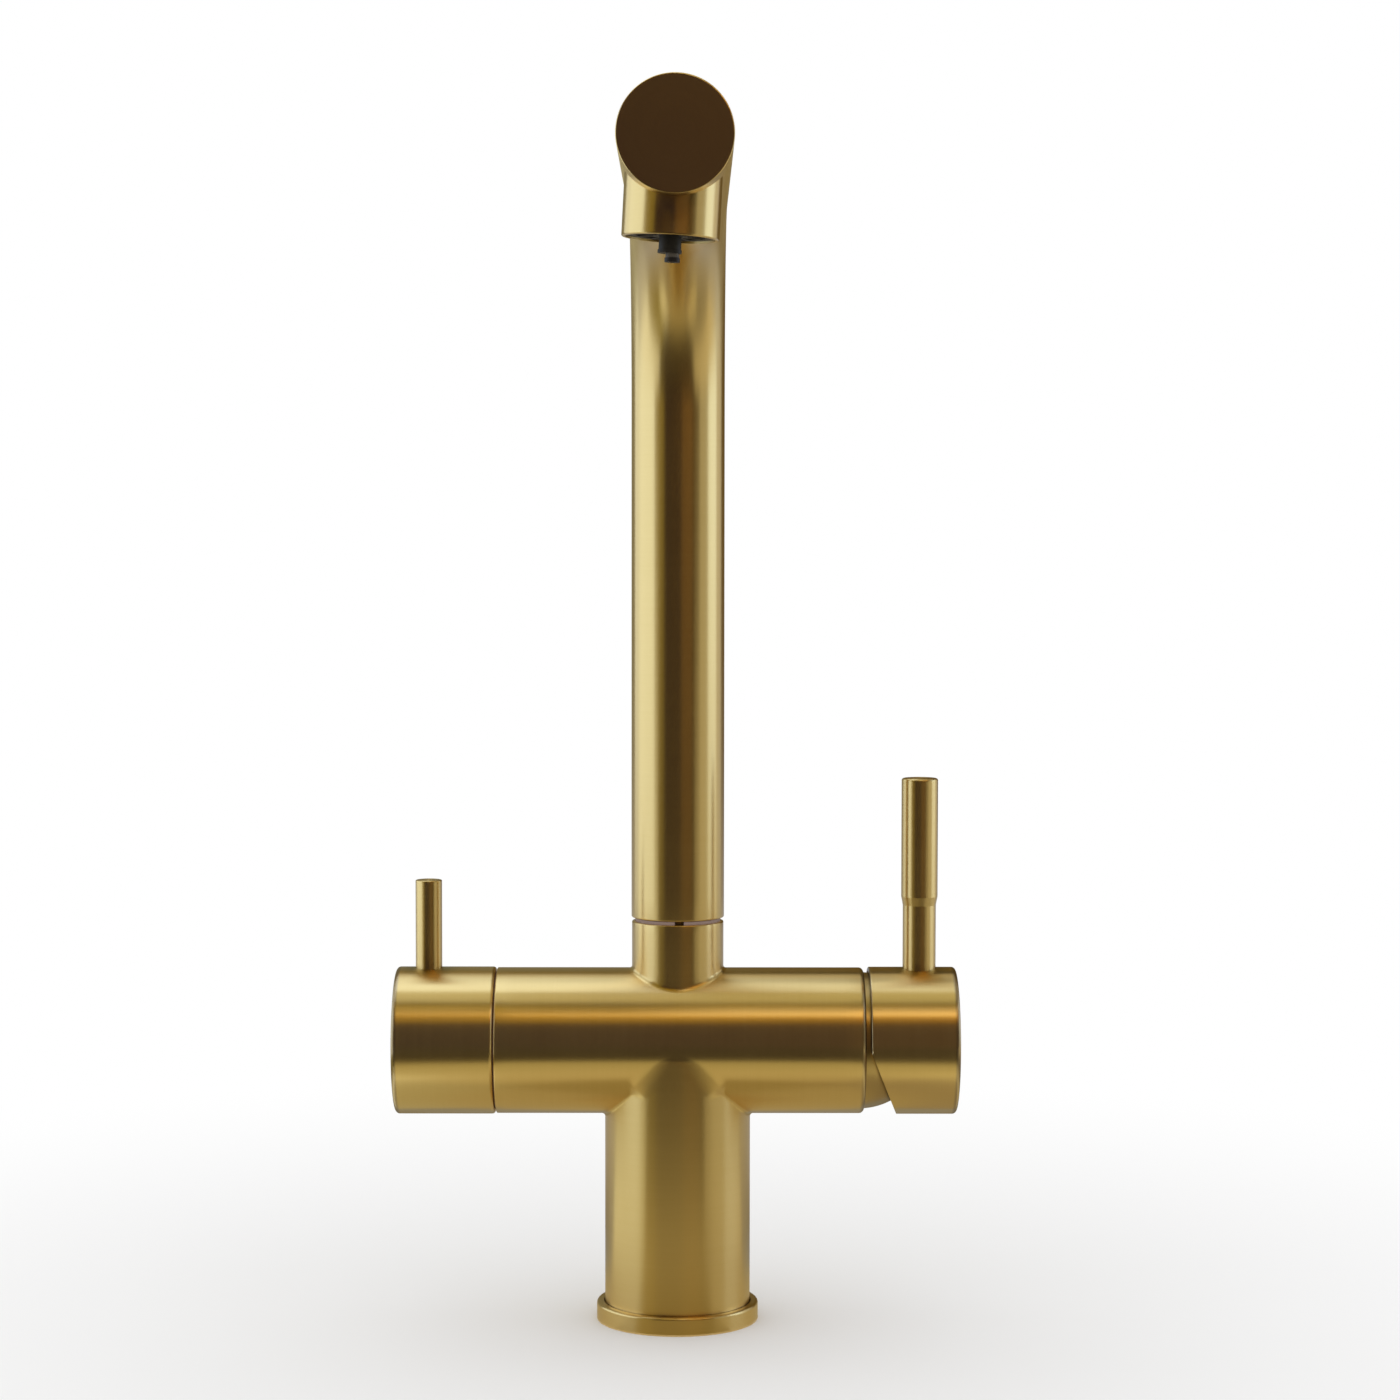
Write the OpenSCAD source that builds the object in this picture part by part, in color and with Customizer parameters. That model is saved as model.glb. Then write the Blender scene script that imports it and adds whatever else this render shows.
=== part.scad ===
// Kitchen sink tap with three waterways: hot, cold and filtered water in one body.
// A lever on the right mixes hot and cold, a quarter turn lever on the left opens the filtered
// water, and the filtered water keeps its own pipe all the way to a nozzle inside the outlet.
// Millimetres, +Z up, the spout points to -Y. The origin is the centre of the base's underside.

/* [Body] */
// Diameter of the upright column and of the cross body
body_d = 44; // [42:0.5:48]
// Height of the cross body's axis above the worktop
cross_h = 85; // [80:1:100]
// Distance from the swivel axis to the cross body's left end
left_end = 54.7; // [54:0.1:57]
// Distance from the swivel axis to the cross body's right end
right_end = 56.3; // [56:0.1:60]
// Rounding of the cross body's right edge, where the dome cover starts
right_edge = 1.4; // [0.4:0.1:1.4]
// Diameter of the neck below the spout
neck_d = 27.7; // [27:0.1:30]
// Height of the neck's top face above the worktop
neck_top = 121.5; // [121:0.5:135]

/* [Base] */
// Outside diameter of the ring that the column stands in
ring_d = 49; // [48:0.5:56]
// Height of the ring
ring_h = 5.5; // [4.5:0.5:8]
// Distance of each water inlet and of the stud hole from the middle
inlet_offset = 10; // [9.5:0.1:10.5]
// Core diameter of the M10 x 1 thread of each water inlet
inlet_thread_d = 9; // [8.6:0.1:9.2]
// Core diameter of the M8 thread of the stud hole
stud_thread_d = 6.8; // [5:0.1:7]

/* [Spout] */
// Outside diameter of the spout tube
spout_d = 28; // [28:0.1:29]
// Wall thickness of the spout tube
spout_wall = 1.5; // [1.2:0.1:1.8]
// Height of the level run's axis above the worktop
spout_h = 331.5; // [300:0.5:380]
// Distance from the swivel axis to the spout's flat end
spout_reach = 210.5; // [170:0.5:240]
// Bend radius at the tube's centre line
bend_r = 56; // [45:1:70]
// Open seam between the neck and the spout tube
seam_gap = 1.2; // [1:0.1:2]
// Width of the gap in the split slip ring
slip_gap = 2.7; // [1:0.1:5]

/* [Outlet] */
// Outside diameter of the outlet stub
outlet_d = 23.5; // [23.4:0.1:26]
// Length of the outlet stub below the spout's axis
outlet_drop = 23; // [21:0.5:30]
// Distance from the spout's flat end back to the outlet's axis
outlet_setback = 17; // [14:0.5:20]
// Angle by which the outlet stub leans about the spout's axis
outlet_lean = 3; // [0:0.1:4]
// Length of the filtered water nozzle below the outlet's rim
nozzle_drop = 5.6; // [3:0.1:8]

/* [Handles] */
// Diameter of both turning caps
cap_d = 44.4; // [44:0.1:46]
// Distance from the swivel axis to the left cap's end face
left_cap_end = 85.2; // [84:0.1:88]
// Distance from the swivel axis to the right cap's end face
right_cap_end = 84.3; // [84:0.1:88]
// Angle of the bevel that lets the right cap tilt
bevel = 21.5; // [20:0.5:24]
// Diameter of the filtered water lever
filter_lever_d = 8; // [7:0.5:8]
// Distance from the swivel axis to the filtered water lever
filter_lever_x = 75.4; // [74:0.1:76]
// Height of the filtered water lever's top above the worktop
filter_lever_top = 133.8; // [120:0.1:150]
// Diameter of the mixer lever's rod
mixer_rod_d = 10; // [9:0.5:10]
// Diameter of the mixer lever's grip sleeve
mixer_sleeve_d = 11; // [11:0.1:13]
// Distance from the swivel axis to the mixer lever
mixer_lever_x = 73.2; // [73:0.1:74]
// Height at which the grip sleeve starts
mixer_sleeve_z = 126.3; // [115:0.1:135]
// Height of the mixer lever's top above the worktop
mixer_lever_top = 164.8; // [145:0.1:185]

/* [Hidden] */
$fn = 64;

// Colours of the finishes
gold = [0.72, 0.58, 0.30];
brass = [0.78, 0.64, 0.32];
nylon = [0.66, 0.56, 0.52];
dark_plastic = [0.12, 0.09, 0.07];
rubber = [0.08, 0.08, 0.08];
ceramic = [0.90, 0.89, 0.86];
steel = [0.66, 0.66, 0.67];
hose_white = [0.86, 0.88, 0.88];

// Clearances and small steps
eps = 1;                // cuts run past their faces by this much
slip = 0.05;            // radial play of a running fit or of a pushed-in piece
face_play = 0.15;       // gap between two faces that rub on each other
edge_small = 0.4;       // rounding of the small visible edges

// Body
body_r = body_d / 2;
neck_r = neck_d / 2;
column_z = 2.5;         // the column stands on the ring's ledge at this height
column_wall = 3.2;
column_bore = body_r - column_wall;
block_h = 24;           // the inlet block fills the column up to this height
block_step = 1;         // the block's top face seats under a step of this width
column_top = cross_h - 23;
socket_d = 4;           // depth of each riser's socket
passage_r = 3;
filter_passage_r = 2.4;
seat_x = 24;            // the cartridge's seat in the cross body
chamber_r = 18;
seat_port_z = 8;        // the mixed water port lies this far above the cross axis

// Spout socket inside the neck
spigot_r = 9.4;
socket_r = spigot_r + 0.3;
bush_r = 11.2;
socket_z = neck_top - 24;
bush_z = neck_top - 9;
ring_groove_z = [neck_top - 20.4, neck_top - 17];
spigot_groove = 1.7;
o_ring_r = (spigot_groove + 0.25) / 2;
stop_groove_z = neck_top - 12.7;
stop_groove_w = 3.6;
stop_groove_r = 7.9;
feed_r = 3;
feed_bore = 2;
feed_z = socket_z - 2.5;
feed_top = socket_z + 11;

// Base ring
ledge_r = column_bore - 0.2;
recess_r = body_r + 0.35;
gasket_in = 20.5;
gasket_out = 22.9;
gasket_h = 1.6;

// Risers
riser_r = 4;
riser_bore = 3;
inlet_thread_l = 11;
stud_thread_l = 16;

// Mixer cartridge, measured along X from the swivel axis
housing_r = chamber_r - 0.3;
housing_in = 15.6;
housing_base = seat_x + 5;
lip_x = 48;
lip_r = 9.9;
housing_end = 50;
fixed_disc_t = 4;
disc_x = housing_base + fixed_disc_t;
disc_r = 10;
disc_t = 4;
driver_x = disc_x + face_play + disc_t;
driver_t = 4.4;
carrier_x = 42.2;
carrier_disc_t = 4;
carrier_r = 15.3;
carrier_neck_r = 9.6;
carrier_end = 60;
slot_half = 4.3;
slot_low = 5;
slot_high = 8.8;
pivot_x = 55;
pin_r = 1.5;
pin_l = 17;
stem_half = 4;
stem_start = 50;
stem_end = 79;
tail_r = 2.2;
ball_r = 3;
ball_x = 41;
nut_end = 54;
nut_bore = 10.5;

// Dome cover, a ball shell about the lever's pivot
dome_r = 20.6;
dome_wall = 1.2;
dome_open_r = 15.4;
skirt_wall = 1.4;

// Turning caps
cap_r = cap_d / 2;
cap_edge = 1.2;         // rounding of the caps' far edges
seam_edge = 0.9;         // rounding of the left cap's edge at its seam
cap_gap = 1.5;          // gap between the cross body and the mixer cap
mixer_cap_x = right_end + cap_gap;
mixer_cap_bore = cap_r - 1.2;
cap_end_wall = 4.5;
boss_r = 7.5;
boss_x = 68;
pad_r = 7;
pad_z = cross_h + 17.8;
shoulder_z = cross_h + 20;
spigot_thread_r = 3;
rod_core_r = 3.5;
sleeve_taper = 2.6;
sleeve_top_wall = 5;

// Filtered water valve, measured along -X from the swivel axis
filter_seat_x = 26;
head_nose_x = 27.5;
head_thread_x = 34.8;
head_hex_x = 44;
head_neck_x = 50;
head_end_x = 60;
head_thread_r = 10.4;
head_nose_r = 8.4;
head_cup_r = 6.3;
head_hex_flats = 24;
head_neck_r = 8.5;
cavity_r = 12;
valve_disc_t = 2.5;
spindle_r = 4;
spindle_flange_t = 2;
spindle_square = 5.6;
spindle_square_x = 62;
spindle_end_x = 79;
spindle_ring_x = [45, 49];
spindle_groove = 1.7;
spindle_ring_r = spindle_groove / 2;
guide_r = cap_r - 1.4 - face_play;
guide_end_x = 58.3;
filter_cap_x = left_end + 0.4;
filter_cap_bore = cap_r - 1.4;
filter_boss_x = 62.3;
filter_pad_r = 6;
filter_spigot_r = 2.5;

// Spout
spout_r = spout_d / 2;
spout_bore = spout_r - spout_wall;
spout_z = neck_top + seam_gap;
bend_z = spout_h - bend_r;
disc_end_t = 2;
hub_top = spout_z + 24;
hub_bore = 7;
hub_core_r = 5;
hub_core_z = socket_z + 2;
hose_r = 3;
hose_bore = 2;
hose_z = feed_top + 4;
hose_bend_r = 9;
elbow_r = 2.8;            // the elbow above the nozzle is set into the hose
elbow_bore = 1.8;
elbow_end = 3;            // straight length of the elbow outside the hose
outlet_y = spout_reach - outlet_setback;

// Outlet, measured down from the spout's axis
outlet_r = outlet_d / 2;
outlet_bore = outlet_r - 0.95;
aerator_z = outlet_drop - 0.5;
aerator_t = 6.5;
screen_t = 1.2;
washer_t = 1.6;
nozzle_r = 2.7;
nozzle_bore = 1.2;
nozzle_top = hose_bend_r + 1;
nozzle_end = outlet_drop + nozzle_drop - 2.1;
nozzle_rim_r = 2.9;
nozzle_off = 0.7;         // the nozzle's bore and tip sit off its centre
tip_end = outlet_drop + nozzle_drop;
tip_rim_r = 1.85;
tip_neck_r = 1.65;
tip_bore = 0.7;

// Stretch of a rod or bore along Z from z0 to z1
module rod(r, z0, z1) {
    translate([0, 0, z0]) cylinder(r = r, h = z1 - z0);
}

// The same along +X
module rod_x(r, x0, x1) {
    translate([x0, 0, 0]) rotate([0, 90, 0]) cylinder(r = r, h = x1 - x0);
}

// Turns a piece that was drawn along +Z to lie along +X
module along_x() {
    rotate([0, 90, 0]) children();
}

// Turns a piece that was drawn along +Z to lie along -X
module along_minus_x() {
    rotate([0, -90, 0]) children();
}

// Places a piece on the cross body's axis
module on_cross() {
    translate([0, 0, cross_h]) children();
}

// Corner that a rounded edge takes off a profile, seen from the arc's centre
module corner_off(e) {
    difference() {
        square(e + eps);
        circle(e);
    }
}

// Solid of revolution from z0 to z1 with its lower and upper edges rounded
module turned(r, z0, z1, e0, e1) {
    rotate_extrude() difference() {
        translate([0, z0]) square([r, z1 - z0]);
        if (e0 > 0) translate([r - e0, z0 + e0]) mirror([0, 1]) corner_off(e0);
        if (e1 > 0) translate([r - e1, z1 - e1]) corner_off(e1);
    }
}

// Ring of rectangular section
module ring(r_in, r_out, z0, z1) {
    difference() {
        rod(r_out, z0, z1);
        rod(r_in, z0 - eps, z1 + eps);
    }
}

// Ring of round section with its middle circle at the height z
module o_ring(r_mid, r_wire, z) {
    translate([0, 0, z]) rotate_extrude() translate([r_mid, 0]) circle(r_wire);
}

// Tube between two heights on an upright axis at [x, y]
module upright_tube(x, y, r, bore, z0, z1) {
    translate([x, y, 0]) ring(bore, r, z0, z1);
}

// Hex socket of a grub screw, open upwards at the height z
module hex_socket(flats, depth, z) {
    translate([0, 0, z - depth]) cylinder(r = flats / sqrt(3), h = depth + eps, $fn = 6);
}

// Waterways of the cross body: hot and cold to the cartridge, mixed water to the neck,
// filtered water out to the left valve and back to the swivel axis
module waterways() {
    for (side = [-1, 1]) {
        translate([0, side * inlet_offset, 0]) rod(passage_r, column_top, cross_h);
        translate([0, side * inlet_offset, cross_h]) rod_x(passage_r, 0, seat_x + eps);
    }
    translate([6.8, 0, 0]) rod(filter_passage_r, cross_h + seat_port_z, socket_z + eps);
    translate([0, 0, cross_h + seat_port_z]) rod_x(filter_passage_r, 6.8, seat_x + eps);
    translate([-inlet_offset, 0, 0]) rod(filter_passage_r, column_top, cross_h);
    on_cross() rod_x(filter_passage_r, -filter_seat_x - eps, -inlet_offset);
    translate([0, 0, feed_z - 2.5]) rod_x(feed_bore, -head_thread_x + 3, 0);
    rod(feed_bore, feed_z - 2.5, socket_z + eps);
    rod(feed_r + slip, feed_z, socket_z + eps);
}

// Hollow body of the column, cross and neck
module tap_body() {
    color(gold) difference() {
        union() {
            rod(body_r, column_z, cross_h);
            on_cross() along_x() turned(body_r, -left_end, right_end, edge_small, right_edge);
            turned(neck_r, cross_h, neck_top, 0, edge_small);
        }
        rod(column_bore, column_z - eps, block_h);
        rod(column_bore - block_step, block_h - eps, column_top);
        for (a = [90, 180, 270])
            rotate(a) translate([inlet_offset, 0, 0])
                rod(riser_r + slip, column_top - eps, column_top + socket_d);
        on_cross() rod_x(chamber_r, seat_x, right_end + eps);
        on_cross() rod_x(head_thread_r, -head_hex_x - eps, -filter_seat_x);
        on_cross() rod_x(cavity_r, -head_thread_x + 1, -head_nose_x - 1);
        on_cross() rod_x(chamber_r, -left_end - eps, -head_hex_x);
        rod(socket_r, socket_z, neck_top);
        rod(bush_r, bush_z, neck_top + eps);
        translate([0, 0, stop_groove_z]) rotate([-90, 0, 0]) rod(2, spigot_r - eps, body_r);
        waterways();
    }
}

// Ring that the column stands in, with a ledge inside and a groove for the gasket
module base_ring() {
    color(gold) difference() {
        turned(ring_d / 2, 0, ring_h, 0, 0.8);
        rod(ledge_r, -eps, ring_h);
        rod(recess_r, column_z, ring_h + eps);
        ring(gasket_in, gasket_out, -eps, gasket_h);
    }
}

// Flat gasket under the base ring
module base_gasket() {
    color(rubber) ring(gasket_in + slip, gasket_out - slip, 0, gasket_h);
}

// Block in the column's foot with the three threaded inlets and the stud hole
module inlet_block() {
    color(brass) difference() {
        union() {
            rod(ledge_r - slip, 0, column_z);
            rod(column_bore, column_z, block_h);
        }
        for (a = [90, 180, 270]) rotate(a) translate([inlet_offset, 0, 0]) {
            rod(inlet_thread_d / 2, -eps, inlet_thread_l);
            rod(riser_bore, 0, block_h);
            rod(riser_r + slip, block_h - socket_d, block_h + eps);
        }
        translate([inlet_offset, 0, 0]) rod(stud_thread_d / 2, -eps, stud_thread_l);
    }
}

// Copper pipe from the inlet block up to the cross body
module riser(x, y) {
    upright_tube(x, y, riser_r, riser_bore, block_h - socket_d, column_top + socket_d);
}

module hot_riser() {
    color(brass) riser(0, inlet_offset);
}

module cold_riser() {
    color(brass) riser(0, -inlet_offset);
}

module filter_riser() {
    color(brass) riser(-inlet_offset, 0);
}

// Places a piece at each of the three ports of the cartridge's seat
module at_ports() {
    for (side = [-1, 1]) translate([0, side * inlet_offset, 0]) children();
    translate([0, 0, seat_port_z]) children();
}

// Casing of the mixer cartridge, with three ports and a snap lip
module cartridge_housing() {
    color(dark_plastic) on_cross() difference() {
        rod_x(housing_r, seat_x, housing_end);
        rod_x(housing_in, housing_base, lip_x);
        rod_x(lip_r, lip_x - eps, housing_end + eps);
        at_ports() {
            rod_x(passage_r, seat_x - eps, housing_base + eps);
            rod_x(5, seat_x - eps, seat_x + 1.5);
        }
    }
}

// Seals of the three ports
module cartridge_seals() {
    color(rubber) on_cross() at_ports() difference() {
        rod_x(5 - slip, seat_x, seat_x + 1.5);
        rod_x(passage_r, seat_x - eps, seat_x + 1.5 + eps);
    }
}

// Lower ceramic disc, which stays in the casing
module fixed_mixing_disc() {
    color(ceramic) on_cross() difference() {
        rod_x(housing_in - slip, housing_base, disc_x);
        at_ports() rod_x(passage_r, housing_base - eps, disc_x + eps);
    }
}

// Upper ceramic disc, which slides over the ports and turns with the lever
module moving_mixing_disc() {
    color(ceramic) on_cross() difference() {
        rod_x(disc_r, disc_x + face_play, driver_x);
        rod_x(6.5, disc_x, disc_x + face_play + 2);
    }
}

// Driver plate on the upper disc, with a hole for the stem's ball
module disc_driver() {
    color(dark_plastic) on_cross() difference() {
        rod_x(disc_r, driver_x, driver_x + driver_t);
        rod_x(ball_r + 0.4, driver_x + 0.6, driver_x + driver_t + eps);
    }
}

// Turning carrier with two cheeks that hold the stem's pin
module mixer_carrier() {
    color(dark_plastic) on_cross() difference() {
        union() {
            rod_x(carrier_r, carrier_x, carrier_x + carrier_disc_t);
            rod_x(carrier_neck_r, carrier_x, carrier_end);
        }
        translate([carrier_x - eps, -slot_half, -slot_low])
            cube([carrier_disc_t + 2 * eps, 2 * slot_half, slot_low + slot_high]);
        translate([carrier_x + carrier_disc_t, -slot_half, -carrier_r])
            cube([carrier_end, 2 * slot_half, 2 * carrier_r]);
        translate([pivot_x, 0, 0]) rotate([90, 0, 0]) rod(pin_r, -carrier_r, carrier_r);
    }
}

// Pin that the stem tilts on
module stem_pin() {
    color(steel) translate([pivot_x, 0, cross_h])
        rotate([90, 0, 0]) rod(pin_r, -pin_l / 2, pin_l / 2);
}

// Stem that the mixer cap sits on, with a ball that drives the disc
module mixer_stem() {
    color(steel) on_cross() difference() {
        union() {
            translate([stem_start, -stem_half, -stem_half])
                cube([stem_end - stem_start, 2 * stem_half, 2 * stem_half]);
            rod_x(tail_r, ball_x, stem_start + eps);
            translate([ball_x, 0, 0]) sphere(ball_r);
        }
        translate([pivot_x, 0, 0])
            rotate([90, 0, 0]) rod(pin_r + slip, -body_r, body_r);
    }
}

// Ring nut that holds the cartridge down
module cartridge_nut() {
    color(brass) on_cross() along_x() difference() {
        rod(chamber_r, housing_end, nut_end);
        rod(nut_bore, housing_end - eps, nut_end + eps);
        for (a = [0 : 90 : 270]) rotate(a) translate([12, -2, nut_end - 2]) cube([4, 4, 2 + eps]);
    }
}

// Ball shell that closes the gap between the cross body and the tilting cap
module dome_cover() {
    open_x = sqrt(pow(dome_r, 2) - pow(dome_open_r, 2));
    color(gold) on_cross() along_x() union() {
        translate([0, 0, pivot_x]) rotate_extrude() difference() {
            intersection() {
                circle(dome_r, $fn = 96);
                translate([dome_open_r - 1.5, right_end - pivot_x])
                    square([dome_r, open_x - right_end + pivot_x]);
            }
            circle(dome_r - dome_wall, $fn = 96);
        }
        ring(chamber_r - skirt_wall, chamber_r - slip, nut_end, right_end + 0.6);
        ring(chamber_r - skirt_wall, dome_r - dome_wall, right_end, right_end + 0.6);
    }
}

// Cap of the mixer lever: a bevelled cup with a square socket and a seat for the lever
module mixer_cap() {
    cap_floor = right_cap_end - cap_end_wall;
    color(gold) on_cross() difference() {
        union() {
            difference() {
                along_x() turned(cap_r, mixer_cap_x, right_cap_end, edge_small, cap_edge);
                rod_x(mixer_cap_bore, mixer_cap_x - eps, cap_floor);
            }
            intersection() {
                translate([mixer_lever_x, 0, pad_z - cross_h]) cylinder(r = pad_r, h = 4);
                rod_x(mixer_cap_bore + 0.5, mixer_cap_x, right_cap_end - eps);
            }
            rod_x(boss_r, boss_x, cap_floor + eps);
        }
        translate([mixer_cap_x, -cap_d, -0.5]) rotate([0, -bevel, 0])
            translate([-cap_d, 0, -2 * cap_d]) cube([cap_d, 2 * cap_d, 2 * cap_d]);
        translate([boss_x - eps, -stem_half - slip, -stem_half - slip])
            cube([cap_floor - boss_x + eps, 2 * (stem_half + slip), 2 * (stem_half + slip)]);
        translate([mixer_lever_x, 0, 0]) rod(spigot_thread_r, 0, cap_r);
        translate([mixer_lever_x, 0, -cross_h]) rod(mixer_rod_d / 2 + slip, shoulder_z, 2 * cross_h);
    }
}

// Rod of the mixer lever, with a threaded end below and a core for the sleeve above
module mixer_lever_rod() {
    color(gold) translate([mixer_lever_x, 0, 0]) {
        rod(spigot_thread_r, cross_h + 9, shoulder_z);
        rod(mixer_rod_d / 2, shoulder_z, mixer_sleeve_z);
        rod(rod_core_r, mixer_sleeve_z, mixer_lever_top - sleeve_top_wall);
    }
}

// Grip sleeve of the mixer lever, tapered where it meets the rod
module mixer_lever_sleeve() {
    sleeve_r = mixer_sleeve_d / 2;
    color(gold) translate([mixer_lever_x, 0, 0]) difference() {
        union() {
            turned(sleeve_r, mixer_sleeve_z + sleeve_taper, mixer_lever_top, 0, 0.7);
            translate([0, 0, mixer_sleeve_z])
                cylinder(r1 = mixer_rod_d / 2, r2 = sleeve_r, h = sleeve_taper);
        }
        rod(rod_core_r, mixer_sleeve_z - eps, mixer_lever_top - sleeve_top_wall);
    }
}

// Grub screw that clamps a cap to its stem, below the lever in the same thread
module grub_screw(r, z0, l, flats) {
    difference() {
        rod(r, z0, z0 + l);
        hex_socket(flats, 2, z0 + l);
    }
}

module mixer_grub_screw() {
    color(steel) translate([mixer_lever_x, 0, 0])
        grub_screw(spigot_thread_r, cross_h + stem_half, 4.5, 3);
}

// Screwed-in valve of the filtered water: cup for the discs, thread, hexagon and neck
module headwork() {
    color(brass) on_cross() along_minus_x() difference() {
        union() {
            rod(head_nose_r, head_nose_x, head_thread_x);
            rod(head_thread_r, head_thread_x, head_hex_x);
            translate([0, 0, head_hex_x])
                cylinder(r = head_hex_flats / sqrt(3), h = head_neck_x - head_hex_x, $fn = 6);
            rod(head_neck_r, head_neck_x, head_end_x);
        }
        rod(head_cup_r, head_nose_x - eps, head_thread_x);
        rod(spindle_r + slip, head_nose_x, head_end_x + eps);
        for (a = [0, 90]) rotate(a)
            translate([-body_r, -2, head_nose_x + 3.2]) cube([body_r * 2, 4, 3]);
    }
}

// Rubber seat between the valve and the body
module headwork_seal() {
    color(rubber) on_cross() along_minus_x() ring(filter_passage_r, 6.2, filter_seat_x, head_nose_x);
}

// One ceramic disc of the filtered water valve, with two ports
module valve_disc(r, z) {
    difference() {
        rod(r, z, z + valve_disc_t);
        for (side = [-1, 1]) translate([0, 3.4 * side, 0]) rod(1.6, z - eps, z + valve_disc_t + eps);
    }
}

module filter_fixed_disc() {
    color(ceramic) on_cross() along_minus_x() valve_disc(head_cup_r - slip, head_nose_x);
}

module filter_moving_disc() {
    color(ceramic) on_cross() along_minus_x()
        valve_disc(head_cup_r - 0.3, head_nose_x + valve_disc_t + face_play);
}

// Spindle that turns the upper disc, with two seal grooves and a square end
module filter_spindle() {
    flange_x = head_nose_x + 2 * valve_disc_t + face_play;
    color(brass) on_cross() along_minus_x() difference() {
        union() {
            rod(head_cup_r - 0.3, flange_x, head_thread_x - face_play);
            rod(spindle_r, flange_x, spindle_square_x);
            translate([-spindle_square / 2, -spindle_square / 2, spindle_square_x])
                cube([spindle_square, spindle_square, spindle_end_x - spindle_square_x]);
        }
        for (x = spindle_ring_x)
            ring(spindle_r - spindle_groove, spindle_r + eps, x - spindle_ring_r - slip,
                x + spindle_ring_r + slip);
    }
}

// Seals on the spindle
module spindle_o_rings() {
    color(rubber) on_cross() along_minus_x() for (x = spindle_ring_x)
        o_ring(spindle_r - spindle_ring_r, spindle_ring_r, x);
}

// Plastic ring that centres the left cap on the valve and fills its seam
module filter_guide_ring() {
    color(dark_plastic) on_cross() along_minus_x() difference() {
        union() {
            rod(chamber_r - slip, head_neck_x, left_end);
            rod(guide_r, left_end, guide_end_x);
        }
        rod(head_neck_r + slip, head_neck_x - eps, guide_end_x + eps);
    }
}

// Cap of the filtered water lever: a cup with a square socket and a seat for the lever
module filter_cap() {
    cap_floor = left_cap_end - cap_end_wall;
    color(gold) on_cross() along_minus_x() difference() {
        union() {
            difference() {
                turned(cap_r, filter_cap_x, left_cap_end, seam_edge, cap_edge);
                rod(filter_cap_bore, filter_cap_x - eps, cap_floor);
            }
            rod(boss_r, filter_boss_x, cap_floor + eps);
            translate([0, 0, filter_lever_x]) rotate([0, 90, 0]) rod(filter_pad_r, 0, filter_cap_bore + 0.4);
        }
        translate([-spindle_square / 2 - slip, -spindle_square / 2 - slip, filter_boss_x - eps])
            cube([spindle_square + 2 * slip, spindle_square + 2 * slip, cap_floor - filter_boss_x]);
        translate([0, 0, filter_lever_x]) rotate([0, 90, 0]) {
            rod(filter_spigot_r, 0, cap_r);
            rod(filter_lever_d / 2 + slip, shoulder_z - cross_h, cap_d);
        }
    }
}

// Lever of the filtered water, a plain pin with a threaded end
module filter_lever() {
    color(gold) translate([-filter_lever_x, 0, 0]) {
        rod(filter_spigot_r, cross_h + 9, shoulder_z);
        turned(filter_lever_d / 2, shoulder_z, filter_lever_top, 0, edge_small);
    }
}

module filter_grub_screw() {
    color(steel) translate([-filter_lever_x, 0, 0])
        grub_screw(filter_spigot_r, cross_h + spindle_square / 2, 4.5, 2.5);
}

// Bush that the spout's spigot turns in
module swivel_bush() {
    color(nylon) ring(spigot_r + slip, bush_r, bush_z, neck_top);
}

// Split ring in the open seam between the neck and the spout
module slip_ring() {
    color(nylon) difference() {
        ring(spigot_r + 0.4, spout_r - 1.1, neck_top, spout_z - 0.2);
        translate([0.5 - slip_gap / 2, -spout_r, neck_top - eps])
            cube([slip_gap, spout_r, seam_gap + 2 * eps]);
    }
}

// Screw at the back of the neck, whose point runs in the spigot's groove
module spout_grub_screw() {
    color(steel) translate([0, 0, stop_groove_z]) rotate([-90, 0, 0]) {
        rod(1.3, stop_groove_r + 0.5, socket_r + 0.4);
        grub_screw(2, socket_r + 0.4, 3.2, 2);
    }
}

// Pipe that brings the filtered water up into the spout, on the swivel axis
module feed_pipe() {
    color(steel) ring(feed_bore, feed_r, feed_z, feed_top);
}

// Path of the spout's bore or outside: upright run, bend and level run
module spout_path(r, z0, y_end) {
    rod(r, z0, bend_z);
    translate([0, -bend_r, bend_z]) rotate([90, 0, 90])
        rotate_extrude(angle = 90) translate([bend_r, 0]) circle(r);
    translate([0, -bend_r, spout_h]) rotate([90, 0, 0]) rod(r, 0, y_end - bend_r);
}

// Places a piece in the outlet's own frame: origin on the spout's axis, -Z down the outlet
module at_outlet() {
    translate([0, -outlet_y, spout_h]) rotate([0, outlet_lean, 0]) children();
}

// Bent tube of the spout
module spout_tube() {
    color(gold) difference() {
        union() {
            spout_path(spout_r, spout_z + 2, spout_reach - disc_end_t);
            turned(spout_r, spout_z, spout_z + 2, edge_small, 0);
        }
        spout_path(spout_bore, spout_z - eps, spout_reach + eps);
        at_outlet() rod(outlet_bore, -spout_d, 0);
    }
}

// Flat disc that closes the spout's end
module spout_end_disc() {
    color(gold) translate([0, -spout_reach, spout_h]) rotate([-90, 0, 0]) {
        turned(spout_r, 0, disc_end_t, 0.3, 0);
        rod(spout_bore - slip, disc_end_t, disc_end_t + 1.5);
    }
}

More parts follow.
